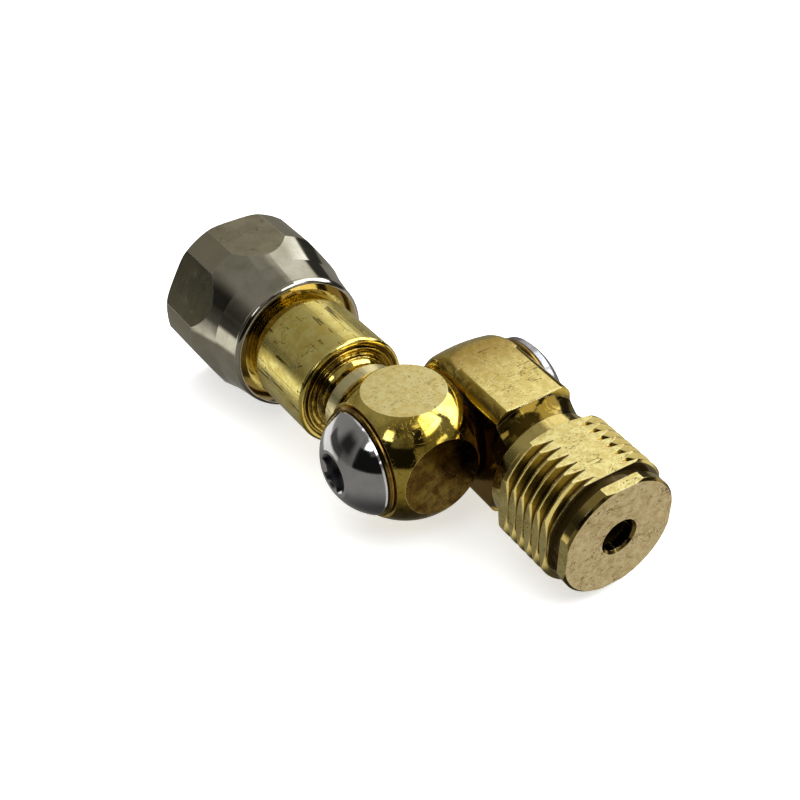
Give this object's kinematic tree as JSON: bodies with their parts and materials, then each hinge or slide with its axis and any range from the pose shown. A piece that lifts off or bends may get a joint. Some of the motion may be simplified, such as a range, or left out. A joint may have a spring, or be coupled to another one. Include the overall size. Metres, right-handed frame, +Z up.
{
  "type": "swivel joint fitting",
  "caption": "Brass swivel joint fitting for a spray hose: paired bodies turn on a sealed pivot, with a chromed union nut at one end and a flatted male thread at the other.",
  "frame": {"origin": "centre of the gasket's face inside the union nut, where the mating pipe seats", "axes": "+X along the inlet from the nut's mouth towards the outlet, +Y along the pivot from the inlet body to the outlet body, +Z up"},
  "size_m": [0.0877, 0.0411, 0.027],
  "materials": {
    "inlet_brass": "polished, tarnished in places",
    "stem_brass": "turned, lightly scratched",
    "outlet_brass": "polished, tarnished in places",
    "washer_brass": "turned",
    "nut_chrome": "plated over brass, worn dull on the flats",
    "screw_chrome": "bright plated",
    "spindle_steel": "ground",
    "seal_rubber": "moulded",
    "backup_plastic": "skived",
    "bearing_plastic": "stamped",
    "gasket_plastic": "stamped"
  },
  "bodies": {
    "inlet": {"inlet_body": "inlet_brass", "inlet_stem": "stem_brass", "stem_seal": "seal_rubber", "nut_gasket": "gasket_plastic", "pivot_spindle": "spindle_steel", "thrust_washer": "bearing_plastic", "inlet_dome_screw": "screw_chrome", "outlet_dome_screw": "screw_chrome", "inlet_dome_washer": "washer_brass", "outlet_dome_washer": "washer_brass", "inlet_screw_seal": "seal_rubber", "outlet_screw_seal": "seal_rubber", "inlet_outer_oring": "seal_rubber", "inlet_inner_oring": "seal_rubber", "outlet_inner_oring": "seal_rubber", "outlet_outer_oring": "seal_rubber", "inlet_outer_backup_ring": "backup_plastic", "inlet_inner_backup_ring": "backup_plastic", "outlet_inner_backup_ring": "backup_plastic", "outlet_outer_backup_ring": "backup_plastic"},
    "outlet": {"outlet_body": "outlet_brass"},
    "nut": {"union_nut": "nut_chrome"}
  },
  "joints": [
    {"name": "outlet_pivot", "type": "hinge", "parent": "inlet", "child": "outlet", "pos_m": [0.043, 0.0145, 0], "axis": [0, 1, 0], "range_deg": [-123.6, 116.4]},
    {"name": "nut_spin", "type": "hinge", "parent": "inlet", "child": "nut", "pos_m": [0, 0, 0], "axis": [1, 0, 0], "continuous": true}
  ]
}
